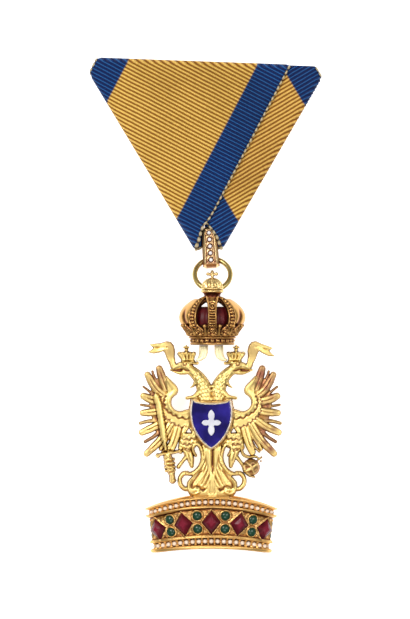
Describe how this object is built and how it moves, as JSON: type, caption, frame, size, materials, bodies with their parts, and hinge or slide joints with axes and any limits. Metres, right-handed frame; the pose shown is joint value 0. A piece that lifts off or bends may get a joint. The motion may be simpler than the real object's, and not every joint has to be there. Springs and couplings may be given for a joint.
{
  "type": "order insignia on a triangular ribbon",
  "caption": "Gilt badge lying on its back: double-headed eagle with a blue shield between a jewelled band crown and an upper crown, on a ring, a bail and a folded ribbon.",
  "frame": {"origin": "centre of the whole object's box, on the surface that it lies on", "axes": "+X to the right of the badge, +Y up the badge towards the ribbon's top, +Z out of the badge's face"},
  "size_m": [0.0522, 0.1141, 0.0142],
  "materials": {
    "ribbon_cloth": "ribbed silk, golden yellow with blue edges",
    "pin_steel": "plain satin",
    "gold": "cast and chased gilt, matt in the hollows",
    "pale_gold": "bright pale gilt",
    "white_enamel": "glossy enamel",
    "blue_enamel": "glossy deep blue enamel",
    "cap_enamel": "dark red enamel",
    "pearl": "lustrous",
    "ruby": "cut and polished",
    "green_stone": "domed and polished"
  },
  "bodies": {
    "root": {"ribbon": "ribbon_cloth", "back_pin": "pin_steel", "bail": "gold", "bail_beads": "white_enamel", "jump_ring": "gold", "upper_crown": "gold", "crown_cap": "cap_enamel", "crown_ribbon_left": "pale_gold", "crown_ribbon_right": "pale_gold", "eagle": "gold", "shield_front": "gold", "shield_back": "gold", "blue_enamel_front": "blue_enamel", "blue_enamel_back": "blue_enamel", "white_enamel_motif": "white_enamel", "band_crown": "gold", "upper_pearl_row": "pearl", "lower_pearl_row": "pearl", "ruby_1": "ruby", "ruby_2": "ruby", "ruby_3": "ruby", "ruby_4": "ruby", "ruby_5": "ruby", "ruby_6": "ruby", "ruby_7": "ruby", "ruby_8": "ruby", "ruby_9": "ruby", "ruby_10": "ruby", "green_stone_1": "green_stone", "green_stone_2": "green_stone", "green_stone_3": "green_stone", "green_stone_4": "green_stone", "green_stone_5": "green_stone", "green_stone_6": "green_stone", "green_stone_7": "green_stone", "green_stone_8": "green_stone", "green_stone_9": "green_stone", "green_stone_10": "green_stone", "green_stone_11": "green_stone", "green_stone_12": "green_stone", "green_stone_13": "green_stone", "green_stone_14": "green_stone", "green_stone_15": "green_stone", "green_stone_16": "green_stone", "green_stone_17": "green_stone", "green_stone_18": "green_stone", "green_stone_19": "green_stone", "green_stone_20": "green_stone"}
  },
  "joints": []
}
